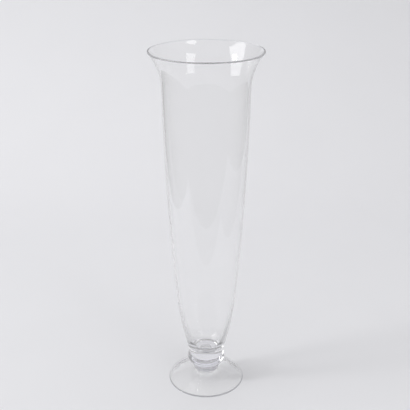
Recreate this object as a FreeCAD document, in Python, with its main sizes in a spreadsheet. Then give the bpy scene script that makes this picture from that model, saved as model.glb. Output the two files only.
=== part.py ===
import FreeCAD, Part
import math
import os
import Sketcher

# A tall trumpet vase of clear blown glass. Four gathers of glass stand on one axis and are
# joined hot, face to face: the spun foot, the small ring above it, the solid knop and the
# blown bowl. Every piece is turned about the Z axis, and the origin is the centre of the
# plane that the foot stands on.

os.makedirs("parts", exist_ok=True)
doc = FreeCAD.newDocument("TrumpetVase")

# Driving sizes in millimetres. Radii are from the axis, and the heights of a piece are from
# its own lower face.
sizes = {
    # foot
    "footRadius": 78.5,
    "footEdgeThickness": 4.0,
    "footRestWidth": 3.6,
    "footBrimRadius": 60.0,
    "footBrimHeight": 9.4,
    "footNeckRadius": 24.0,
    "footHeight": 25.5,
    "footHollowHeight": 17.0,
    "pontilRadius": 11.0,
    "pontilDepth": 1.4,
    # ring between foot and knop
    "ringRadius": 26.3,
    "ringWidestHeight": 3.5,
    "ringHeight": 14.5,
    # knop
    "knopBaseRadius": 25.5,
    "knopRadius": 38.5,
    "knopWidestHeight": 13.0,
    "knopHeight": 21.5,
    # bowl, outside
    "bowlBaseRadius": 34.3,
    "bowlConeRadius": 44.6,
    "bowlConeHeight": 43.4,
    "bowlShoulderRadius": 60.3,
    "bowlShoulderHeight": 139.0,
    "bowlFlareRadius": 83.0,
    "bowlFlareHeight": 566.0,
    "bowlRimRadius": 107.7,
    "bowlHeight": 638.5,
    # bowl, inside
    "bowlLipThickness": 3.4,
    "bowlShoulderWall": 3.2,
    "bowlFloorThickness": 8.5,
    "bowlFloorRound": 36.0,
}

sheet = doc.addObject("Spreadsheet::Sheet", "Sizes")
for row, (name, value) in enumerate(sizes.items(), start=1):
    sheet.set(f"A{row}", name)
    sheet.set(f"B{row}", str(value))
    sheet.setAlias(f"B{row}", name)
doc.recompute()


class Length:
    """A length together with the formula that ties it to the sheet."""

    def __init__(self, value, formula):
        self.value = value
        self.formula = formula

    def __add__(self, other):
        return Length(self.value + other.value, f"({self.formula} + {other.formula})")

    def __sub__(self, other):
        return Length(self.value - other.value, f"({self.formula} - {other.formula})")

    def half(self):
        return Length(self.value / 2, f"({self.formula} / 2)")


def size(name):
    return Length(sheet.get(name), f"Sizes.{name}")


zero = Length(0.0, "0")


def spot(radius, height):
    return FreeCAD.Vector(radius.value, height.value, 0)


def turnedLeft(direction):
    return FreeCAD.Vector(-direction.y, direction.x, 0)


def arcCentre(start, direction, end):
    """Centre of the arc that leaves start along direction and reaches end."""
    side = turnedLeft(direction)
    chord = end - start
    return start + side * (chord.dot(chord) / (2 * chord.dot(side)))


def directionAt(centre, point, leaving):
    """Tangent at point of a circle about centre, on the side that leaving points to."""
    tangent = turnedLeft((point - centre).normalize())
    return tangent if tangent.dot(leaving) > 0 else -tangent


def turnsLeft(start, direction, end):
    """Whether the arc that leaves start along direction bends to the left to reach end."""
    return turnedLeft(direction).dot(end - start) > 0


class Outline:
    """A half section on the XZ plane of a body, drawn edge by edge and then closed."""

    def __init__(self, body, name):
        self.sketch = body.newObject("Sketcher::SketchObject", name)
        planes = [item for item in body.Origin.OriginFeatures if item.Role == "XZ_Plane"]
        self.sketch.AttachmentSupport = (planes[0], "")
        self.sketch.MapMode = "FlatFace"
        self.edges = []

    def line(self, start, end):
        number = self.sketch.addGeometry(Part.LineSegment(start, end), False)
        self.edges.append((number, 1, 2))

    def arc(self, centre, start, end, leftward):
        """The arc from start to end. It turns left when its centre lies on the left."""
        angles = [math.atan2(point.y - centre.y, point.x - centre.x) for point in (start, end)]
        first, last = angles if leftward else reversed(angles)
        circle = Part.Circle(centre, FreeCAD.Vector(0, 0, 1), (start - centre).Length)
        number = self.sketch.addGeometry(Part.ArcOfCircle(circle, first, last), False)
        self.edges.append((number, 1, 2) if leftward else (number, 2, 1))

    def tie(self, kind, number, point, length):
        index = self.sketch.addConstraint(
            Sketcher.Constraint(kind, -1, 1, number, point, length.value))
        self.sketch.setExpression(f"Constraints[{index}]", length.formula)

    def pin(self, number, point, radius=None, height=None):
        """Set the radius and the height of a point, or the one of them that is given."""
        if radius is zero:
            self.sketch.addConstraint(Sketcher.Constraint("PointOnObject", number, point, -2))
        elif radius:
            self.tie("DistanceX", number, point, radius)
        if height is zero:
            self.sketch.addConstraint(Sketcher.Constraint("PointOnObject", number, point, -1))
        elif height:
            self.tie("DistanceY", number, point, height)

    def pinStart(self, edge, radius=None, height=None):
        number, start, _ = self.edges[edge]
        self.pin(number, start, radius, height)

    def pinCentre(self, edge, radius=None, height=None):
        self.pin(self.edges[edge][0], 3, radius, height)

    def setRadius(self, edge, length):
        index = self.sketch.addConstraint(
            Sketcher.Constraint("Radius", self.edges[edge][0], length.value))
        self.sketch.setExpression(f"Constraints[{index}]", length.formula)

    def shareCentre(self, edge, other):
        self.sketch.addConstraint(
            Sketcher.Constraint("Coincident", self.edges[edge][0], 3, self.edges[other][0], 3))

    def join(self, smooth=()):
        """Join each edge to the next one, smoothly where the edge's number is in smooth."""
        for edge, (number, _, end) in enumerate(self.edges):
            following, start, _ = self.edges[(edge + 1) % len(self.edges)]
            kind = "Tangent" if edge in smooth else "Coincident"
            self.sketch.addConstraint(Sketcher.Constraint(kind, number, end, following, start))

    def spin(self, body, name):
        solid = body.newObject("PartDesign::Revolution", name)
        solid.Profile = self.sketch
        solid.ReferenceAxis = (self.sketch, ["V_Axis"])
        solid.Angle = 360
        self.sketch.Visibility = False


def newBody(label, *below):
    """A body that stands on the pieces whose heights are named in below."""
    body = doc.addObject("PartDesign::Body", label)
    body.Label = label
    if below:
        body.setExpression("Placement.Base.z", " + ".join(f"Sizes.{name}" for name in below))
    return body


def buildFoot():
    """A spread cone that rises to a neck, hollow below so that it stands on its outer band."""
    body = newBody("foot")
    outline = Outline(body, "FootSection")
    round_ = size("footEdgeThickness").half()
    edgeRadius = size("footRadius") - round_
    restInner = edgeRadius - size("footRestWidth")
    edgeCentre = spot(edgeRadius, round_)
    brim = spot(size("footBrimRadius"), size("footBrimHeight"))
    # the top of the brim touches the rounded edge
    reach = edgeCentre - brim
    slope = math.atan2(reach.y, reach.x) + math.asin(round_.value / reach.Length)
    touchLength = math.sqrt(reach.Length ** 2 - round_.value ** 2)
    brimEnd = brim + FreeCAD.Vector(math.cos(slope), math.sin(slope), 0) * touchLength
    neck = spot(size("footNeckRadius"), size("footHeight"))
    flareCentre = arcCentre(brim, (brim - brimEnd).normalize(), neck)
    # the hollow is a shallow dome about the axis, with the ground pontil mark in its middle
    hollowEdge = spot(restInner, zero)
    domeTop = size("footHollowHeight")
    domeRadius = (restInner.value ** 2 + domeTop.value ** 2) / (2 * domeTop.value)
    domeCentre = FreeCAD.Vector(0, domeTop.value - domeRadius, 0)
    pontil = size("pontilRadius")
    markHeight = domeCentre.y + math.sqrt(domeRadius ** 2 - pontil.value ** 2)
    markEdge = FreeCAD.Vector(pontil.value, markHeight, 0)
    markTop = spot(zero, domeTop + size("pontilDepth"))
    markChord = markTop - markEdge
    markRadius = markChord.dot(markChord) / (2 * markChord.y)
    markCentre = FreeCAD.Vector(0, markTop.y - markRadius, 0)
    neckAxis = spot(zero, size("footHeight"))

    outline.line(hollowEdge, spot(edgeRadius, zero))
    outline.arc(edgeCentre, spot(edgeRadius, zero), brimEnd, True)
    outline.line(brimEnd, brim)
    outline.arc(flareCentre, brim, neck, False)
    outline.line(neck, neckAxis)
    outline.line(neckAxis, markTop)
    outline.arc(markCentre, markTop, markEdge, False)
    outline.arc(domeCentre, markEdge, hollowEdge, False)
    outline.join(smooth=(0, 1, 2))
    outline.pinStart(0, restInner, zero)
    outline.pinCentre(1, edgeRadius)
    outline.setRadius(1, round_)
    outline.pinStart(1, height=zero)
    outline.pinStart(3, size("footBrimRadius"), size("footBrimHeight"))
    outline.pinStart(4, size("footNeckRadius"), size("footHeight"))
    outline.pinStart(5, zero, size("footHeight"))
    outline.pinStart(6, zero, domeTop + size("pontilDepth"))
    outline.pinCentre(6, zero)
    outline.pinStart(7, pontil)
    outline.pinCentre(7, zero)
    outline.setRadius(7, Length(domeRadius, f"({restInner.formula} ^ 2 + {domeTop.formula} ^ 2)"
                                            f" / (2 * {domeTop.formula})"))
    outline.spin(body, "FootSolid")
    return body


def buildPressedBall(label, below, lower, widest, upper):
    """A solid turned piece of two arcs that meet upright at its widest height."""
    body = newBody(label, *below)
    outline = Outline(body, label.title().replace("_", "") + "Section")
    corners = [spot(*lower), spot(*widest), spot(*upper)]
    centres = []
    for corner in (corners[0], corners[2]):
        inward = corners[1].x - corner.x
        rise = corner.y - corners[1].y
        radius = (inward ** 2 + rise ** 2) / (2 * inward)
        centres.append(FreeCAD.Vector(corners[1].x - radius, corners[1].y, 0))
    outline.line(FreeCAD.Vector(0, corners[0].y, 0), corners[0])
    outline.arc(centres[0], corners[0], corners[1], True)
    outline.arc(centres[1], corners[1], corners[2], True)
    outline.line(corners[2], FreeCAD.Vector(0, corners[2].y, 0))
    outline.line(FreeCAD.Vector(0, corners[2].y, 0), FreeCAD.Vector(0, corners[0].y, 0))
    outline.join()
    outline.pinStart(0, zero, lower[1])
    outline.pinStart(1, *lower)
    outline.pinStart(2, *widest)
    outline.pinCentre(1, height=widest[1])
    outline.pinCentre(2, height=widest[1])
    outline.pinStart(3, *upper)
    outline.pinStart(4, zero, upper[1])
    outline.spin(body, label.title().replace("_", "") + "Solid")
    return body


def buildRing():
    """The small ring that joins the foot's neck to the knop."""
    return buildPressedBall(
        "neck_ring", ["footHeight"],
        lower=(size("footNeckRadius"), zero),
        widest=(size("ringRadius"), size("ringWidestHeight")),
        upper=(size("knopBaseRadius"), size("ringHeight")))


def buildKnop():
    """The solid knop, a ball of glass pressed between the ring and the bowl."""
    return buildPressedBall(
        "knop", ["footHeight", "ringHeight"],
        lower=(size("knopBaseRadius"), zero),
        widest=(size("knopRadius"), size("knopWidestHeight")),
        upper=(size("bowlBaseRadius"), size("knopHeight")))


def buildBowl():
    """The blown bowl: a thick base, a slow taper and a flared, fire-rounded rim."""
    body = newBody("bowl", "footHeight", "ringHeight", "knopHeight")
    outline = Outline(body, "BowlSection")
    base = spot(size("bowlBaseRadius"), zero)
    cone = spot(size("bowlConeRadius"), size("bowlConeHeight"))
    shoulder = spot(size("bowlShoulderRadius"), size("bowlShoulderHeight"))
    flare = spot(size("bowlFlareRadius"), size("bowlFlareHeight"))
    upward = FreeCAD.Vector(0, 1, 0)
    # outside: a cone, the shoulder arc and the long side arc, each smooth with the last
    coneDirection = (cone - base).normalize()
    shoulderCentre = arcCentre(cone, coneDirection, shoulder)
    shoulderDirection = directionAt(shoulderCentre, shoulder, upward)
    sideCentre = arcCentre(shoulder, shoulderDirection, flare)
    flareDirection = directionAt(sideCentre, flare, upward)
    # the flare arc leaves the side smoothly and touches the round of the lip
    lip = size("bowlLipThickness").half()
    lipRadius = size("bowlRimRadius") - lip
    lipHeight = size("bowlHeight") - lip
    lipCentre = spot(lipRadius, lipHeight)
    outward = -turnedLeft(flareDirection)
    toFlare = flare - lipCentre
    flareRound = (toFlare.dot(toFlare) - lip.value ** 2) / (2 * (lip.value - toFlare.dot(outward)))
    flareCentre = flare + outward * flareRound
    across = (flareCentre - lipCentre).normalize()
    lipOuter = lipCentre + across * lip.value
    lipInner = lipCentre - across * lip.value
    # inside: the flare keeps the lip's thickness, then the wall follows its own arcs down
    innerRound = flareRound + size("bowlLipThickness").value
    drop = flareCentre.y - flare.y
    innerFlare = FreeCAD.Vector(flareCentre.x - math.sqrt(innerRound ** 2 - drop ** 2), flare.y, 0)
    innerShoulderRadius = size("bowlShoulderRadius") - size("bowlShoulderWall")
    innerShoulder = spot(innerShoulderRadius, size("bowlShoulderHeight"))
    downward = directionAt(flareCentre, innerFlare, -upward)
    innerSideCentre = arcCentre(innerFlare, downward, innerShoulder)
    innerDirection = directionAt(innerSideCentre, innerShoulder, -upward)
    inward = -turnedLeft(innerDirection)
    floorRound = size("bowlFloorRound")
    floorCentre = spot(zero, size("bowlFloorThickness") + floorRound)
    toShoulder = innerShoulder - floorCentre
    lowerRound = ((floorRound.value ** 2 - toShoulder.dot(toShoulder))
                  / (2 * (floorRound.value + toShoulder.dot(inward))))
    lowerCentre = innerShoulder + inward * lowerRound
    floorEdge = floorCentre + (floorCentre - lowerCentre).normalize() * floorRound.value
    floorMiddle = spot(zero, size("bowlFloorThickness"))

    outline.line(FreeCAD.Vector(0, 0, 0), base)
    outline.line(base, cone)
    outline.arc(shoulderCentre, cone, shoulder, turnsLeft(cone, coneDirection, shoulder))
    outline.arc(sideCentre, shoulder, flare, turnsLeft(shoulder, shoulderDirection, flare))
    outline.arc(flareCentre, flare, lipOuter, False)
    outline.arc(lipCentre, lipOuter, lipInner, True)
    outline.arc(flareCentre, lipInner, innerFlare, True)
    outline.arc(innerSideCentre, innerFlare, innerShoulder,
                turnsLeft(innerFlare, downward, innerShoulder))
    outline.arc(lowerCentre, innerShoulder, floorEdge,
                turnsLeft(innerShoulder, innerDirection, floorEdge))
    outline.arc(floorCentre, floorEdge, floorMiddle, False)
    outline.line(floorMiddle, FreeCAD.Vector(0, 0, 0))
    outline.join(smooth=range(1, 9))
    outline.pinStart(0, zero, zero)
    outline.pinStart(1, size("bowlBaseRadius"), zero)
    outline.pinStart(2, size("bowlConeRadius"), size("bowlConeHeight"))
    outline.pinStart(3, size("bowlShoulderRadius"), size("bowlShoulderHeight"))
    outline.pinStart(4, size("bowlFlareRadius"), size("bowlFlareHeight"))
    outline.pinCentre(5, lipRadius, lipHeight)
    outline.setRadius(5, lip)
    outline.shareCentre(6, 4)
    outline.pinStart(7, height=size("bowlFlareHeight"))
    outline.pinStart(8, innerShoulderRadius, size("bowlShoulderHeight"))
    outline.pinCentre(9, zero, size("bowlFloorThickness") + floorRound)
    outline.pinStart(10, zero, size("bowlFloorThickness"))
    outline.spin(body, "BowlSolid")
    return body


bodies = [buildFoot(), buildRing(), buildKnop(), buildBowl()]
doc.recompute()

for item in doc.Objects:
    if "Invalid" in item.State or "Error" in item.State:
        raise RuntimeError(f"{item.Label} did not build: {item.State}")
for body in bodies:
    if body.Shape.isNull() or not body.Shape.isValid():
        raise RuntimeError(f"{body.Label} has no valid solid")

for body in bodies:
    body.Shape.exportStep(os.path.join("parts", body.Label + ".step"))
    box = body.Shape.BoundBox
    print(f"{body.Label}: z {box.ZMin:.2f} to {box.ZMax:.2f}, radius {box.XMax:.2f},"
          f" volume {body.Shape.Volume / 1000:.1f} cm3, solids {len(body.Shape.Solids)}")
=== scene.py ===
import math
import bmesh
import bpy
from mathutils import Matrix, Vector


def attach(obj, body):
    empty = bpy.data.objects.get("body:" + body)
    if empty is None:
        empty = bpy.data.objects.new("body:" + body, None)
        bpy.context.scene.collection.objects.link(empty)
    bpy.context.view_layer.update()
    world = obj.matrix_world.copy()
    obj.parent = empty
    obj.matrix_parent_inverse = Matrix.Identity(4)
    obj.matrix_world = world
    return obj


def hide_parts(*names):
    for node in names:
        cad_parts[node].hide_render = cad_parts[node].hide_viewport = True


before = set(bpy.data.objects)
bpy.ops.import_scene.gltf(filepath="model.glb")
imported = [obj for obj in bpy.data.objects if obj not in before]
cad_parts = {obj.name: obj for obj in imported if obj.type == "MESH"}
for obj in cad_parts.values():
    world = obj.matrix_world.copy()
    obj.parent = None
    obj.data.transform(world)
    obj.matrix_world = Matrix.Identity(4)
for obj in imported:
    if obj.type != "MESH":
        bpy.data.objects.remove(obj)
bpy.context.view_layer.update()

mm = 0.001
scene = bpy.context.scene
scene.view_settings.view_transform = "Standard"

# the photograph's view: a long lens, a little above the rim, looking down along +Y
photoCamera = {
    "place": (-2.35 * mm, -1416.8 * mm, 985.1 * mm),
    "pitch": 22.554,    # degrees below level
    "lens": 68.88,
    "sensor": 36.0,
}


def makeCamera():
    data = bpy.data.cameras.new("photoCamera")
    data.lens = photoCamera["lens"]
    data.sensor_width = photoCamera["sensor"]
    camera = bpy.data.objects.new("photoCamera", data)
    camera.location = photoCamera["place"]
    camera.rotation_euler = (math.radians(90 - photoCamera["pitch"]), 0, 0)
    scene.collection.objects.link(camera)
    scene.camera = camera


makeCamera()
print("camera placed")

# outlines: half sections as lists of (radius, height) points, lengths in metres
smoothness = {
    "turn": math.radians(7.5),    # the most that an arc turns in one step
    "step": 4 * mm,               # and the longest step
}


def leftOf(direction):
    return Vector((-direction.y, direction.x))


def arcCentre(start, direction, end):
    side = leftOf(direction)
    chord = end - start
    return start + side * (chord.dot(chord) / (2 * chord.dot(side)))


def directionAt(centre, point, leaving):
    tangent = leftOf((point - centre).normalized())
    return tangent if tangent.dot(leaving) > 0 else -tangent


def alongLine(start, end):
    count = max(1, math.ceil((end - start).length / smoothness["step"]))
    return [start.lerp(end, i / count) for i in range(1, count + 1)]


def alongArc(centre, start, end, leftward):
    radius = (start - centre).length
    first = math.atan2(start.y - centre.y, start.x - centre.x)
    sweep = math.atan2(end.y - centre.y, end.x - centre.x) - first
    if leftward:
        sweep %= 2 * math.pi
    else:
        sweep = -(-sweep % (2 * math.pi))
    count = math.ceil(abs(sweep) / min(smoothness["turn"], smoothness["step"] / radius))
    angles = [first + sweep * i / count for i in range(1, count + 1)]
    return [centre + radius * Vector((math.cos(a), math.sin(a))) for a in angles]


footSizes = {
    "radius": 78.5 * mm, "edgeThickness": 4.0 * mm, "restWidth": 3.6 * mm,
    "brimRadius": 60.0 * mm, "brimHeight": 9.4 * mm,
    "neckRadius": 24.0 * mm, "height": 25.5 * mm,
    "hollowHeight": 17.0 * mm, "pontilRadius": 11.0 * mm, "pontilDepth": 1.4 * mm,
}
ringSizes = {"radius": 26.3 * mm, "widestHeight": 3.5 * mm, "height": 14.5 * mm}
knopSizes = {
    "baseRadius": 25.5 * mm, "radius": 38.5 * mm,
    "widestHeight": 13.0 * mm, "height": 21.5 * mm,
}
bowlSizes = {
    "baseRadius": 34.3 * mm,
    "coneRadius": 44.6 * mm, "coneHeight": 43.4 * mm,
    "shoulderRadius": 60.3 * mm, "shoulderHeight": 139.0 * mm,
    "flareRadius": 83.0 * mm, "flareHeight": 566.0 * mm,
    "rimRadius": 107.7 * mm, "height": 638.5 * mm,
    "lipThickness": 3.4 * mm, "shoulderWall": 3.2 * mm,
    "floorThickness": 8.5 * mm, "floorRound": 36.0 * mm,
}


def footOutline():
    s = footSizes
    edgeRound = s["edgeThickness"] / 2
    edgeCentre = Vector((s["radius"] - edgeRound, edgeRound))
    restInner = Vector((edgeCentre.x - s["restWidth"], 0))
    restOuter = Vector((edgeCentre.x, 0))
    brim = Vector((s["brimRadius"], s["brimHeight"]))
    reach = edgeCentre - brim
    slope = math.atan2(reach.y, reach.x) + math.asin(edgeRound / reach.length)
    touch = math.sqrt(reach.length ** 2 - edgeRound ** 2)
    brimEnd = brim + Vector((math.cos(slope), math.sin(slope))) * touch
    neck = Vector((s["neckRadius"], s["height"]))
    flareCentre = arcCentre(brim, (brim - brimEnd).normalized(), neck)
    domeRadius = (restInner.x ** 2 + s["hollowHeight"] ** 2) / (2 * s["hollowHeight"])
    domeCentre = Vector((0, s["hollowHeight"] - domeRadius))
    markRise = math.sqrt(domeRadius ** 2 - s["pontilRadius"] ** 2)
    markEdge = Vector((s["pontilRadius"], domeCentre.y + markRise))
    markTop = Vector((0, s["hollowHeight"] + s["pontilDepth"]))
    chord = markTop - markEdge
    markCentre = Vector((0, markTop.y - chord.dot(chord) / (2 * chord.y)))
    points = [markTop]
    points += alongArc(markCentre, markTop, markEdge, False)
    points += alongArc(domeCentre, markEdge, restInner, False)
    points += alongLine(restInner, restOuter)
    points += alongArc(edgeCentre, restOuter, brimEnd, True)
    points += alongLine(brimEnd, brim)
    points += alongArc(flareCentre, brim, neck, False)
    points += [Vector((0, s["height"]))]
    return points


def pressedOutline(low, lower, widest, upper):
    points = [Vector((0, lower[1])), Vector(lower)]
    for start, end in ((lower, widest), (widest, upper)):
        corner = start if end is widest else end
        inward = widest[0] - corner[0]
        radius = (inward ** 2 + (corner[1] - widest[1]) ** 2) / (2 * inward)
        points += alongArc(Vector((widest[0] - radius, widest[1])), Vector(start), Vector(end), True)
    points.append(Vector((0, upper[1])))
    return [point + Vector((0, low)) for point in points]


def bowlOutline(low):
    s = bowlSizes
    up = Vector((0, 1))
    base = Vector((s["baseRadius"], 0))
    cone = Vector((s["coneRadius"], s["coneHeight"]))
    shoulder = Vector((s["shoulderRadius"], s["shoulderHeight"]))
    flare = Vector((s["flareRadius"], s["flareHeight"]))
    shoulderCentre = arcCentre(cone, (cone - base).normalized(), shoulder)
    sideCentre = arcCentre(shoulder, directionAt(shoulderCentre, shoulder, up), flare)
    lip = s["lipThickness"] / 2
    lipCentre = Vector((s["rimRadius"] - lip, s["height"] - lip))
    outward = -leftOf(directionAt(sideCentre, flare, up))
    toFlare = flare - lipCentre
    flareRound = (toFlare.dot(toFlare) - lip ** 2) / (2 * (lip - toFlare.dot(outward)))
    flareCentre = flare + outward * flareRound
    across = (flareCentre - lipCentre).normalized()
    lipOuter = lipCentre + across * lip
    lipInner = lipCentre - across * lip
    innerRound = flareRound + s["lipThickness"]
    innerX = flareCentre.x - math.sqrt(innerRound ** 2 - (flareCentre.y - flare.y) ** 2)
    innerFlare = Vector((innerX, flare.y))
    innerShoulder = Vector((s["shoulderRadius"] - s["shoulderWall"], s["shoulderHeight"]))
    innerSideCentre = arcCentre(innerFlare, directionAt(flareCentre, innerFlare, -up), innerShoulder)
    inward = -leftOf(directionAt(innerSideCentre, innerShoulder, -up))
    floorCentre = Vector((0, s["floorThickness"] + s["floorRound"]))
    toShoulder = innerShoulder - floorCentre
    lowerRound = ((s["floorRound"] ** 2 - toShoulder.dot(toShoulder))
                  / (2 * (s["floorRound"] + toShoulder.dot(inward))))
    lowerCentre = innerShoulder + inward * lowerRound
    floorEdge = floorCentre + (floorCentre - lowerCentre).normalized() * s["floorRound"]
    floorMiddle = Vector((0, s["floorThickness"]))
    points = [Vector((0, 0)), base]
    points += alongLine(base, cone)
    points += alongArc(shoulderCentre, cone, shoulder, True)
    points += alongArc(sideCentre, shoulder, flare, True)
    points += alongArc(flareCentre, flare, lipOuter, False)
    points += alongArc(lipCentre, lipOuter, lipInner, True)
    points += alongArc(flareCentre, lipInner, innerFlare, True)
    points += alongArc(innerSideCentre, innerFlare, innerShoulder, False)
    points += alongArc(lowerCentre, innerShoulder, floorEdge, False)
    points += alongArc(floorCentre, floorEdge, floorMiddle, False)
    return [point + Vector((0, low)) for point in points]


# materials
def linear(code):
    values = [int(code[i:i + 2], 16) / 255 for i in (0, 2, 4)]
    return tuple(v / 12.92 if v <= 0.04045 else ((v + 0.055) / 1.055) ** 2.4 for v in values) + (1,)


# adds a node with its settings; a keyword is an input's name, or i and its number
def addNode(tree, kind, settings=None, **inputs):
    node = tree.nodes.new(kind)
    for name, value in (settings or {}).items():
        setattr(node, name, value)
    for name, value in inputs.items():
        key = int(name[1:]) if name[1:].isdigit() else name.replace("_", " ")
        socket = node.inputs[key]
        if isinstance(value, bpy.types.NodeSocket):
            tree.links.new(value, socket)
        else:
            socket.default_value = value
    return node


def newMaterial(name):
    material = bpy.data.materials.new(name)
    material.use_nodes = True
    material.node_tree.nodes.clear()
    return material, material.node_tree


glassIor = 1.5
grazingBlend = 0.35    # how early a skin counts as met at a grazing angle
# tint: colour of the body; passes: share of lamp light that passes a skin met head on, and met
# at a grazing angle; turns: inner reflections after which trapped light leaves through the skin;
# leaves: share of that light that is left at each skin it then crosses;
# edge: the brim seen end on, tinted darker: painted shade for the dark line that the long way
# through the glass gives there;
# fading: heights between which that share falls towards the lip, and what it falls to
glassLooks = {
    "blown": {"tint": "FFFFFF", "passes": (0.97, 0.60), "turns": 2, "leaves": 0.80,
              # the lip's slightly greyer tint is painted shade
              "edge": {"along": (0, 0, 1), "from": 697.3 * mm, "to": 699.0 * mm, "tint": "F2F2F4"},
              "fading": {"from": 560 * mm, "to": 670 * mm, "leaves": 0.60}},
    "pressed": {"tint": "F4F4FA", "passes": (0.55, 0.05), "turns": 2, "leaves": 0.70},
    "spun": {"tint": "FEFEFE", "passes": (1.0, 1.0), "turns": 1, "leaves": 0.74,
             # the foot's grey edge tint is painted shade for its dark brim line
             "edge": {"along": (1, 1, 0), "from": 76.6 * mm, "to": 77.8 * mm, "tint": "A8A8AE"}},
}
# faint rings left by turning the hot glass on its iron: long around the axis, close along it
turningRings = {"around": 70 * mm, "along": 9 * mm, "depth": 0.002 * mm, "detail": 2.0}
# the ground pontil mark and the worn band that the foot stands on, both matt
wear = {"restHeight": 0.25 * mm, "markRadius": 11.0 * mm, "markHeight": 19.0 * mm,
        "roughness": 0.38, "grain": 0.8 * mm, "grainDetail": 3.0, "markTint": "A4A4B2"}


def distanceAlong(tree, place, along):
    flat = addNode(tree, "ShaderNodeVectorMath", {"operation": "MULTIPLY"}, i0=place, i1=along)
    length = addNode(tree, "ShaderNodeVectorMath", {"operation": "LENGTH"}, i0=flat.outputs[0])
    return length.outputs["Value"]


def below(tree, value, limit):
    return addNode(tree, "ShaderNodeMath", {"operation": "LESS_THAN"}, i0=value, i1=limit).outputs[0]


# Matt where the foot was ground or has slid on shelves, so its underside reads as a used one,
# and greyer in the pontil mark
def wearFoot(tree, place, glass):
    height = distanceAlong(tree, place, (0, 0, 1))
    rest = below(tree, height, wear["restHeight"])
    inMark = addNode(tree, "ShaderNodeMath", {"operation": "MULTIPLY"},
                     i0=below(tree, distanceAlong(tree, place, (1, 1, 0)), wear["markRadius"]),
                     i1=below(tree, height, wear["markHeight"])).outputs[0]
    matt = addNode(tree, "ShaderNodeMath", {"operation": "MAXIMUM"}, i0=rest, i1=inMark)
    grain = addNode(tree, "ShaderNodeTexNoise", Vector=place, Scale=1 / wear["grain"],
                    Detail=wear["grainDetail"])
    level = addNode(tree, "ShaderNodeMath", {"operation": "MULTIPLY"}, i0=grain.outputs["Fac"],
                    i1=2 * wear["roughness"])    # the grain is a half on average
    rough = addNode(tree, "ShaderNodeMath", {"operation": "MULTIPLY"}, i0=matt.outputs[0],
                    i1=level.outputs[0])
    tree.links.new(rough.outputs[0], glass.inputs["Roughness"])
    body = glass.inputs["Base Color"].links[0].from_socket
    marked = addNode(tree, "ShaderNodeMix", {"data_type": "RGBA"}, i0=inMark, i6=body,
                     i7=linear(wear["markTint"]))
    tree.links.new(marked.outputs[2], glass.inputs["Base Color"])


# Clear soda-lime glass, turned hot and fire polished: sharp reflections that faint rings bend
# a little, a nearly colourless body, and a greyer line at the brim that is painted shade
def turnedGlass(name, look, worn=False):
    material, tree = newMaterial(name)
    place = addNode(tree, "ShaderNodeTexCoord").outputs["Object"]
    scale = (1 / turningRings["around"], 1 / turningRings["around"], 1 / turningRings["along"])
    stretched = addNode(tree, "ShaderNodeVectorMath", {"operation": "MULTIPLY"}, i0=place, i1=scale)
    rings = addNode(tree, "ShaderNodeTexNoise", Vector=stretched.outputs[0], Scale=1.0,
                    Detail=turningRings["detail"])
    bump = addNode(tree, "ShaderNodeBump", Strength=1.0, Distance=turningRings["depth"],
                   Height=rings.outputs["Fac"])
    glass = addNode(tree, "ShaderNodeBsdfPrincipled", Base_Color=linear(look["tint"]), Roughness=0.0,
                    IOR=glassIor, Transmission_Weight=1.0, Normal=bump.outputs[0])
    # painted shade: a mask greys the glass's colour where the brim is seen end on
    if "edge" in look:
        edge = look["edge"]
        paintedShadeMask = addNode(tree, "ShaderNodeMapRange", {"interpolation_type": "SMOOTHSTEP"},
                       Value=distanceAlong(tree, place, edge["along"]), i1=edge["from"], i2=edge["to"])
        body = addNode(tree, "ShaderNodeMix", {"data_type": "RGBA"}, i0=paintedShadeMask.outputs[0],
                       i6=linear(look["tint"]), i7=linear(edge["tint"]))
        tree.links.new(body.outputs[2], glass.inputs["Base Color"])
    if worn:
        wearFoot(tree, place, glass)
    # light trapped between the skins is let out after a few turns, weakened, and never ends black
    path = addNode(tree, "ShaderNodeLightPath").outputs
    trapped = addNode(tree, "ShaderNodeMath", {"operation": "GREATER_THAN"}, i0=path["Glossy Depth"],
                      i1=look["turns"] + 0.5)    # the half keeps the last turn inside
    leave = addNode(tree, "ShaderNodeBsdfRefraction", Color=(look["leaves"],) * 3 + (1,), Roughness=0.0,
                    IOR=1.0)
    if "fading" in look:
        fading = look["fading"]
        falls = addNode(tree, "ShaderNodeMapRange", {"interpolation_type": "SMOOTHSTEP"},
                        Value=distanceAlong(tree, place, (0, 0, 1)), i1=fading["from"], i2=fading["to"],
                        i3=look["leaves"], i4=fading["leaves"])
        tree.links.new(falls.outputs[0], leave.inputs["Color"])
    skin = addNode(tree, "ShaderNodeMixShader", i0=trapped.outputs[0], i1=glass.outputs[0],
                   i2=leave.outputs[0])
    # lamps shine through, weaker where the skin is met at a grazing angle
    facing = addNode(tree, "ShaderNodeLayerWeight", Blend=grazingBlend).outputs["Facing"]
    headOn, grazing = look["passes"]
    share = addNode(tree, "ShaderNodeMix", {"data_type": "RGBA"}, i0=facing,
                    i6=(headOn,) * 3 + (1,), i7=(grazing,) * 3 + (1,))
    lamp = addNode(tree, "ShaderNodeBsdfTransparent", Color=share.outputs[2])
    lit = addNode(tree, "ShaderNodeMath", {"operation": "MAXIMUM"}, i0=path["Is Shadow Ray"],
                  i1=path["Is Diffuse Ray"])
    both = addNode(tree, "ShaderNodeMixShader", i0=lit.outputs[0], i1=skin.outputs[0], i2=lamp.outputs[0])
    addNode(tree, "ShaderNodeOutputMaterial", Surface=both.outputs[0])
    return material


# Where two gathers are fused there is no surface, so light passes unbent
def fusedJoin():
    material, tree = newMaterial("fusedJoin")
    clear = addNode(tree, "ShaderNodeBsdfTransparent", Color=(1, 1, 1, 1))
    addNode(tree, "ShaderNodeOutputMaterial", Surface=clear.outputs[0])
    return material


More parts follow.
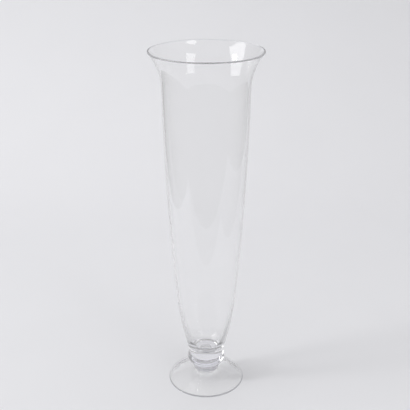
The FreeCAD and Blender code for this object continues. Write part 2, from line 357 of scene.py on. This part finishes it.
# turning: a Geometry Nodes tree spins a half section about the axis
spinning = {
    "around": 256, "pathRadius": 10 * mm,
    "waveHeight": 0.10 * mm, "waveLength": 140 * mm, "waveDetail": 1.0, "seed": 3.0,
    "weld": 0.001 * mm, "crease": math.radians(12),
    "digits": 5,    # heights are compared to this many decimals of a metre
}


def spinTree():
    tree = bpy.data.node_groups.new("spinGlass", "GeometryNodeTree")
    panel = tree.interface
    panel.new_socket("Geometry", in_out="INPUT", socket_type="NodeSocketGeometry")
    panel.new_socket("Steps Around", in_out="INPUT", socket_type="NodeSocketInt")
    panel.new_socket("Wave Height", in_out="INPUT", socket_type="NodeSocketFloat")
    panel.new_socket("Wave Length", in_out="INPUT", socket_type="NodeSocketFloat")
    panel.new_socket("Seed", in_out="INPUT", socket_type="NodeSocketFloat")
    panel.new_socket("Glass", in_out="INPUT", socket_type="NodeSocketMaterial")
    panel.new_socket("Geometry", in_out="OUTPUT", socket_type="NodeSocketGeometry")
    given = addNode(tree, "NodeGroupInput").outputs
    path = addNode(tree, "GeometryNodeCurvePrimitiveCircle", Resolution=given["Steps Around"],
                   Radius=spinning["pathRadius"])
    skin = addNode(tree, "GeometryNodeCurveToMesh", Curve=path.outputs["Curve"],
                   Profile_Curve=given["Geometry"])
    whole = addNode(tree, "GeometryNodeMergeByDistance", Geometry=skin.outputs[0],
                    Distance=spinning["weld"])
    place = addNode(tree, "GeometryNodeInputPosition")
    count = addNode(tree, "ShaderNodeMath", {"operation": "DIVIDE"}, i0=1.0, i1=given["Wave Length"])
    noise = addNode(tree, "ShaderNodeTexNoise", {"noise_dimensions": "4D"}, Vector=place.outputs[0],
                    W=given["Seed"], Scale=count.outputs[0], Detail=spinning["waveDetail"])
    inward = addNode(tree, "ShaderNodeVectorMath", {"operation": "MULTIPLY"}, i0=place.outputs[0],
                     i1=(-1, -1, 0))
    inward = addNode(tree, "ShaderNodeVectorMath", {"operation": "NORMALIZE"}, i0=inward.outputs[0])
    depth = addNode(tree, "ShaderNodeMath", {"operation": "MULTIPLY"}, i0=noise.outputs["Fac"],
                    i1=given["Wave Height"])
    push = addNode(tree, "ShaderNodeVectorMath", {"operation": "SCALE"}, i0=inward.outputs[0],
                   Scale=depth.outputs[0])
    waved = addNode(tree, "GeometryNodeSetPosition", Geometry=whole.outputs[0], Offset=push.outputs[0])
    real = addNode(tree, "GeometryNodeRealizeInstances", Geometry=waved.outputs[0])
    done = addNode(tree, "GeometryNodeSetMaterial", Geometry=real.outputs[0], Material=given["Glass"])
    addNode(tree, "NodeGroupOutput", i0=done.outputs[0])
    return tree


def spinPiece(name, outline, glass, tree, joinHeights):
    curve = bpy.data.curves.new(name + "Section", "CURVE")
    curve.dimensions = "3D"
    spline = curve.splines.new("POLY")
    spline.points.add(len(outline) - 1)
    for point, (radius, height) in zip(spline.points, outline):
        point.co = (radius - spinning["pathRadius"], -height, 0, 1)
    draft = bpy.data.objects.new(name + "Section", curve)
    scene.collection.objects.link(draft)
    modifier = draft.modifiers.new("spin", "NODES")
    modifier.node_group = tree
    inputs = {item.name: item.identifier for item in tree.interface.items_tree if item.in_out == "INPUT"}
    modifier[inputs["Steps Around"]] = spinning["around"]
    modifier[inputs["Wave Height"]] = spinning["waveHeight"]
    modifier[inputs["Wave Length"]] = spinning["waveLength"]
    modifier[inputs["Seed"]] = spinning["seed"]
    modifier[inputs["Glass"]] = glass
    mesh = bpy.data.meshes.new_from_object(draft.evaluated_get(bpy.context.evaluated_depsgraph_get()))
    bpy.data.objects.remove(draft)
    mesh.name = name
    mesh.materials.clear()
    mesh.materials.append(glass)
    mesh.materials.append(joinMaterial)
    work = bmesh.new()
    work.from_mesh(mesh)
    bmesh.ops.remove_doubles(work, verts=work.verts, dist=spinning["weld"])
    bmesh.ops.recalc_face_normals(work, faces=work.faces)
    for face in work.faces:
        face.smooth = True
        flat = {round(vert.co.z, spinning["digits"]) for vert in face.verts}
        face.material_index = int(len(flat) == 1 and flat.pop() in joinHeights)
    for edge in work.edges:
        if len(edge.link_faces) == 2 and edge.calc_face_angle() > spinning["crease"]:
            edge.smooth = False
    work.to_mesh(mesh)
    work.free()
    piece = bpy.data.objects.new(name, mesh)
    scene.collection.objects.link(piece)
    return piece


joinMaterial = fusedJoin()
tree = spinTree()
ringLow = footSizes["height"]
knopLow = ringLow + ringSizes["height"]
bowlLow = knopLow + knopSizes["height"]
joins = {round(low, spinning["digits"]) for low in (ringLow, knopLow, bowlLow)}
clear = turnedGlass("blownClearGlass", glassLooks["blown"])
thick = turnedGlass("pressedClearGlass", glassLooks["pressed"])
disc = turnedGlass("spunClearGlass", glassLooks["spun"], worn=True)
outlines = {
    "foot": footOutline(),
    "neck_ring": pressedOutline(ringLow, (footSizes["neckRadius"], 0),
                                (ringSizes["radius"], ringSizes["widestHeight"]),
                                (knopSizes["baseRadius"], ringSizes["height"])),
    "knop": pressedOutline(knopLow, (knopSizes["baseRadius"], 0),
                           (knopSizes["radius"], knopSizes["widestHeight"]),
                           (bowlSizes["baseRadius"], knopSizes["height"])),
    "bowl": bowlOutline(bowlLow),
}
glasses = {"foot": disc, "neck_ring": thick, "knop": thick, "bowl": clear}
for node, outline in outlines.items():
    piece = spinPiece(node + "_glass", outline, glasses[node], tree, joins)
    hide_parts(node)
    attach(piece, "root")
    print(node, "turned:", len(piece.data.polygons), "faces")

# the paper sweep: a sheet that ends close in front and at the sides, and bends up behind
sweep = {
    "front": -0.70, "left": -0.86, "right": 1.2,
    "back": 1.80, "bend": 1.0, "bendSteps": 24, "top": 2.6,
    "colour": "E7E7EA", "paler": "E9E9EC",     # the paper and its paler blotches
    "blotch": 160 * mm, "blotchDetail": 1.0,
    "fibre": 1.2 * mm, "fibreDetail": 2.0, "fibreDepth": 0.02 * mm,
}


# Matt background paper: a soft, slightly cool grey white with faint blotches and fibres
def mattPaper():
    material, tree = newMaterial("mattPaper")
    place = addNode(tree, "ShaderNodeTexCoord").outputs["Object"]
    blotches = addNode(tree, "ShaderNodeTexNoise", Vector=place, Scale=1 / sweep["blotch"],
                       Detail=sweep["blotchDetail"])
    colour = addNode(tree, "ShaderNodeMix", {"data_type": "RGBA"}, i0=blotches.outputs["Fac"],
                     i6=linear(sweep["colour"]), i7=linear(sweep["paler"]))
    fibres = addNode(tree, "ShaderNodeTexNoise", Vector=place, Scale=1 / sweep["fibre"],
                     Detail=sweep["fibreDetail"])
    bump = addNode(tree, "ShaderNodeBump", Strength=1.0, Distance=sweep["fibreDepth"],
                   Height=fibres.outputs["Fac"])
    paper = addNode(tree, "ShaderNodeBsdfDiffuse", Color=colour.outputs[2], Normal=bump.outputs[0])
    addNode(tree, "ShaderNodeOutputMaterial", Surface=paper.outputs[0])
    return material


def makeSweep():
    steps = sweep["bendSteps"]
    line = [(sweep["front"], 0)]
    for i in range(steps + 1):
        angle = math.pi / 2 * i / steps
        line.append((sweep["back"] - sweep["bend"] + sweep["bend"] * math.sin(angle),
                     sweep["bend"] * (1 - math.cos(angle))))
    line.append((sweep["back"], sweep["top"]))
    verts = [(side, y, z) for y, z in line for side in (sweep["left"], sweep["right"])]
    faces = [(2 * i, 2 * i + 1, 2 * i + 3, 2 * i + 2) for i in range(len(line) - 1)]
    mesh = bpy.data.meshes.new("paperSweep")
    mesh.from_pydata(verts, [], faces)
    for face in mesh.polygons:
        face.use_smooth = True
    mesh.materials.append(mattPaper())
    piece = bpy.data.objects.new("paperSweep", mesh)
    scene.collection.objects.link(piece)


makeSweep()
print("sweep laid")

# soft lamps: place, width and height in metres; glow is the level of their faces, paper white
# being about 0.8. The core, seen inside the key, gives the long wedge of shadow.
lamps = {
    "keyBox": {"place": (-6.0, -0.6, 3.1), "width": 4.0, "tall": 6.0, "glow": 2.2},
    "keyCore": {"place": (-7.4, -1.8, 4.3), "width": 1.3, "tall": 1.3, "glow": 38},
    "fillBox": {"place": (1.6, -1.8, 1.5), "width": 0.9, "tall": 1.6, "glow": 1.9},
    "rimBox": {"place": (0.67, -0.6, 2.3), "width": 0.5, "tall": 0.35, "glow": 2.2},
    "backBox": {"place": (-0.5, 0.9, 2.6), "width": 1.2, "tall": 1.2, "glow": 0.573,
                "aim": (-0.6, 1.5, 0.4)},
}
lampAim = (0, 0, 0.35)    # half way up the vase, where lamps without an aim of their own point
# the studio beyond the lamps: the levels of walls and ceiling, and where one turns to the other
room = {"walls": 0.465, "ceiling": 0.62, "from": 0.35, "to": 0.8}


def makeLamps():
    for name, s in lamps.items():
        data = bpy.data.lights.new(name, "AREA")
        data.shape = "RECTANGLE"
        data.size = s["width"]
        data.size_y = s["tall"]
        data.energy = s["glow"] * math.pi * s["width"] * s["tall"]
        lamp = bpy.data.objects.new(name, data)
        lamp.location = s["place"]
        aim = Vector(s.get("aim", lampAim)) - lamp.location
        lamp.rotation_euler = aim.to_track_quat("-Z", "Y").to_euler()
        scene.collection.objects.link(lamp)
    world = bpy.data.worlds.new("studio")
    world.use_nodes = True
    world.node_tree.nodes.clear()
    tree = world.node_tree
    ray = addNode(tree, "ShaderNodeTexCoord")
    parts = addNode(tree, "ShaderNodeSeparateXYZ", Vector=ray.outputs["Generated"])
    level = addNode(tree, "ShaderNodeMapRange", {"interpolation_type": "SMOOTHSTEP"},
                    Value=parts.outputs["Z"], i1=room["from"], i2=room["to"], i3=room["walls"],
                    i4=room["ceiling"])
    glow = addNode(tree, "ShaderNodeBackground", Color=(1, 1, 1, 1), Strength=level.outputs[0])
    addNode(tree, "ShaderNodeOutputWorld", Surface=glow.outputs[0])
    scene.world = world


makeLamps()
print("lamps set")
